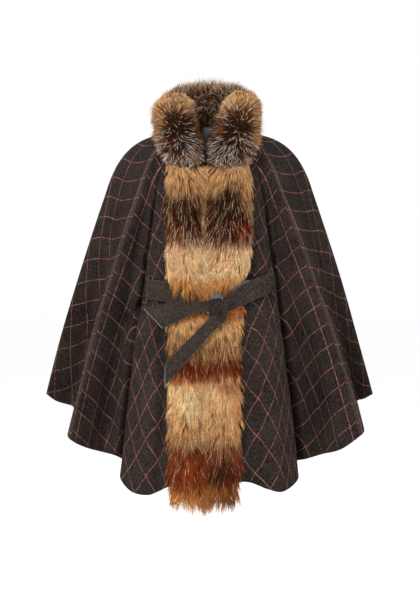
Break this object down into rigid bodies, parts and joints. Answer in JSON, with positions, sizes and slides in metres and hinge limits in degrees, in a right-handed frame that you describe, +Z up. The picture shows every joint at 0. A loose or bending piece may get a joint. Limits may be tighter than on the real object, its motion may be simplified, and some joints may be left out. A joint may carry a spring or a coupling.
{
  "type": "wool cape with fur collar and tie belt",
  "caption": "Checked wool cape, filled out as worn, with a standing fur collar, long fur front bands and a tie belt through slits in the fronts.",
  "frame": {"origin": "midway between the two shoulder points, where the wearer's shoulders carry the cape", "axes": "+Z up along the height; -Y out of the front; +X to the right as seen from the front"},
  "size_m": [0.8599, 0.5419, 1.1],
  "materials": {
    "checked_wool": "matt fulled wool with a fine overcheck",
    "fur": "long banded fur",
    "belt_wool": "matt plain wool",
    "facing": "smooth lining cloth"
  },
  "bodies": {
    "root": {"front_left": "checked_wool", "front_right": "checked_wool", "back_left": "checked_wool", "back_right": "checked_wool", "fur_left": "fur", "fur_right": "fur", "collar_left": "fur", "collar_right": "fur", "collar_back": "fur", "neck_facing": "facing", "belt_inside": "belt_wool", "belt_knot": "belt_wool", "belt_left": "belt_wool", "belt_right": "belt_wool", "belt_tail_side": "belt_wool", "belt_tail_down": "belt_wool"}
  },
  "joints": []
}
